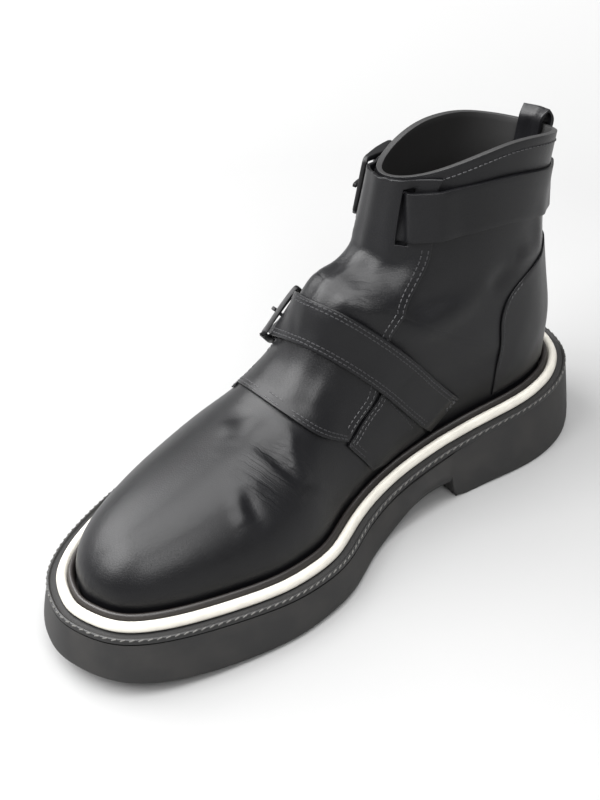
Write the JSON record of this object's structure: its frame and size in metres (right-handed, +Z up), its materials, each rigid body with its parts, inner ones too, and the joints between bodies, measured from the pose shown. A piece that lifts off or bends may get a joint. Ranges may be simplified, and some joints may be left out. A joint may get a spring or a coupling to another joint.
{
  "type": "leather boot",
  "caption": "Right ankle boot of black leather with buckled straps over instep and collar, a white piping and a thick welted rubber sole.",
  "frame": {"origin": "middle of the sole's bounding box on the floor", "axes": "+Z up, the toe points to -Y, the inner side of the foot is +X"},
  "size_m": [0.118, 0.29, 0.1626],
  "materials": {
    "upper_leather": "smooth black calf, half gloss",
    "lining": "matt black",
    "sole_rubber": "matt dark grey",
    "piping": "satin ivory",
    "rand": "dark brown edge dye",
    "buckle_metal": "black lacquer, half matt"
  },
  "bodies": {
    "root": {"outsole": "sole_rubber", "welt": "sole_rubber", "piping": "piping", "rand": "rand", "insole": "lining", "upper": "upper_leather", "front_panel": "upper_leather", "wing_medial": "upper_leather", "wing_lateral": "upper_leather", "heel_counter": "upper_leather", "collar_strap": "upper_leather", "instep_strap": "upper_leather", "instep_chape": "upper_leather", "collar_keeper": "upper_leather", "instep_keeper": "upper_leather", "pull_loop": "upper_leather", "collar_buckle": "buckle_metal", "collar_prong": "buckle_metal", "instep_buckle": "buckle_metal", "instep_prong": "buckle_metal"}
  },
  "joints": []
}
